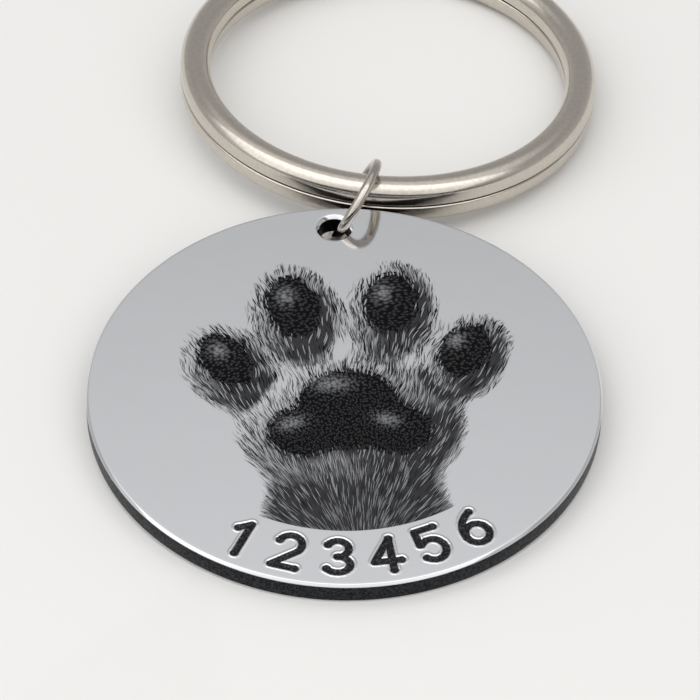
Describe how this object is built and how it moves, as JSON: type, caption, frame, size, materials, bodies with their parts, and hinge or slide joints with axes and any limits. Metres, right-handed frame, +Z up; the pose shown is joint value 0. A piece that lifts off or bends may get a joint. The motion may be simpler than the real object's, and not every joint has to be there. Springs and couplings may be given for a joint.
{
  "type": "pet id tag",
  "caption": "Round aluminium pet tag with stamped numerals along its lower edge, hung by a small jump ring on a split ring that goes through a collar's ring.",
  "frame": {"origin": "on the surface that the part lies on, below the middle of the box round all three pieces", "axes": "+Y from the tag's middle to its hanging hole, +Z up from the surface, +X to the right"},
  "size_m": [0.0346, 0.0604, 0.0059],
  "materials": {
    "tag_aluminium": "polished sheet with a fine-cut edge",
    "jump_ring_steel": "bright drawn steel wire",
    "split_ring_nickel": "tumbled steel, nickel-plated"
  },
  "bodies": {
    "tag": {"tag_blank": "tag_aluminium"},
    "jump_ring": {"jump_ring": "jump_ring_steel"},
    "split_ring": {"split_ring": "split_ring_nickel"}
  },
  "joints": [
    {"name": "jump_ring_swing", "type": "hinge", "parent": "tag", "child": "jump_ring", "pos_m": [-0.00057, 0.0013, 0.00218], "axis": [0.9625, -0.1603, -0.2188], "range_deg": [-85, 8]},
    {"name": "split_ring_swing", "type": "hinge", "parent": "jump_ring", "child": "split_ring", "pos_m": [0.00015, 0.00225, 0.00293], "axis": [0.9773, -0.2084, -0.0373], "range_deg": [-12, 80]}
  ]
}
